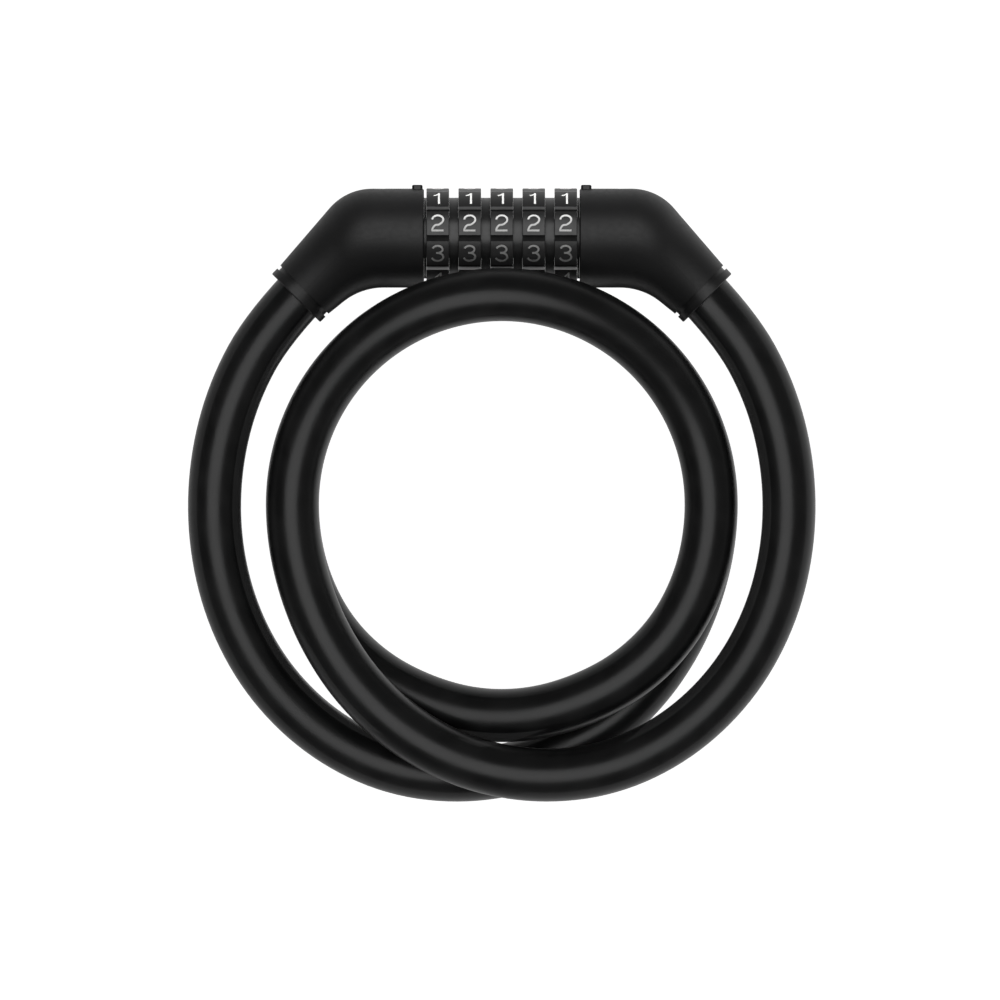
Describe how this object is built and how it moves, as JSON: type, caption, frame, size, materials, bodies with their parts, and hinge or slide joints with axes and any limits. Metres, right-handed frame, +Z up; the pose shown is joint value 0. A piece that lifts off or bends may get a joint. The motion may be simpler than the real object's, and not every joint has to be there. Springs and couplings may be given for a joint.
{
  "type": "combination cable lock",
  "caption": "Combination lock for a bicycle: number dials between two elbow housings that join the ends of a thick coiled steel cable in a smoke-black jacket.",
  "frame": {"origin": "centre of the coil on the surface that the coil lies on", "axes": "+X along the lock head from the fixed half to the plug half, +Y from the coil's centre to the lock head, +Z up"},
  "size_m": [0.1412, 0.1389, 0.0378],
  "materials": {
    "housing": "matte black moulded cover",
    "collar": "satin black",
    "dial": "satin black with white printed digits",
    "spacer": "satin black",
    "code_ring": "turned brass",
    "index_mark": "gloss black",
    "jacket": "smooth smoke-black PVC, slightly see-through",
    "rope": "stranded steel rope",
    "spring_steel": "bright spring steel",
    "steel": "zinc-plated steel"
  },
  "bodies": {
    "lock_body": {"barrel_pin": "steel", "cable_core": "rope", "cable_jacket": "jacket", "collar_left": "collar", "detent_spring": "spring_steel", "ejector_spring": "spring_steel", "ferrule_left": "steel", "ferrule_pin_left": "steel", "housing_left": "housing", "index_mark_left": "index_mark", "lock_barrel": "steel", "retaining_clip": "spring_steel", "spacer_1": "spacer", "spacer_2": "spacer", "spacer_3": "spacer", "spacer_4": "spacer", "washer_left": "spacer", "washer_right": "spacer"},
    "plug": {"housing_right": "housing", "collar_right": "collar", "ferrule_right": "steel", "ferrule_pin_right": "steel", "index_mark_right": "index_mark", "locking_pin": "steel", "plug_pin": "steel"},
    "dial_1_set": {"dial_1": "dial", "code_ring_1": "code_ring"},
    "dial_2_set": {"dial_2": "dial", "code_ring_2": "code_ring"},
    "dial_3_set": {"dial_3": "dial", "code_ring_3": "code_ring"},
    "dial_4_set": {"dial_4": "dial", "code_ring_4": "code_ring"},
    "dial_5_set": {"dial_5": "dial", "code_ring_5": "code_ring"}
  },
  "joints": [
    {"name": "plug_slide", "type": "slide", "parent": "lock_body", "child": "plug", "axis": [1, 0, 0], "range_m": [0, 0.045], "deforming": ["cable_jacket", "cable_core", "ejector_spring"]},
    {"name": "dial_1_turn", "type": "hinge", "parent": "lock_body", "child": "dial_1_set", "pos_m": [-0.0144, 0.0598, 0.0189], "axis": [1, 0, 0], "continuous": true},
    {"name": "dial_2_turn", "type": "hinge", "parent": "lock_body", "child": "dial_2_set", "pos_m": [-0.0072, 0.0598, 0.0189], "axis": [1, 0, 0], "continuous": true},
    {"name": "dial_3_turn", "type": "hinge", "parent": "lock_body", "child": "dial_3_set", "pos_m": [0, 0.0598, 0.0189], "axis": [1, 0, 0], "continuous": true},
    {"name": "dial_4_turn", "type": "hinge", "parent": "lock_body", "child": "dial_4_set", "pos_m": [0.0072, 0.0598, 0.0189], "axis": [1, 0, 0], "continuous": true},
    {"name": "dial_5_turn", "type": "hinge", "parent": "lock_body", "child": "dial_5_set", "pos_m": [0.0144, 0.0598, 0.0189], "axis": [1, 0, 0], "continuous": true}
  ]
}
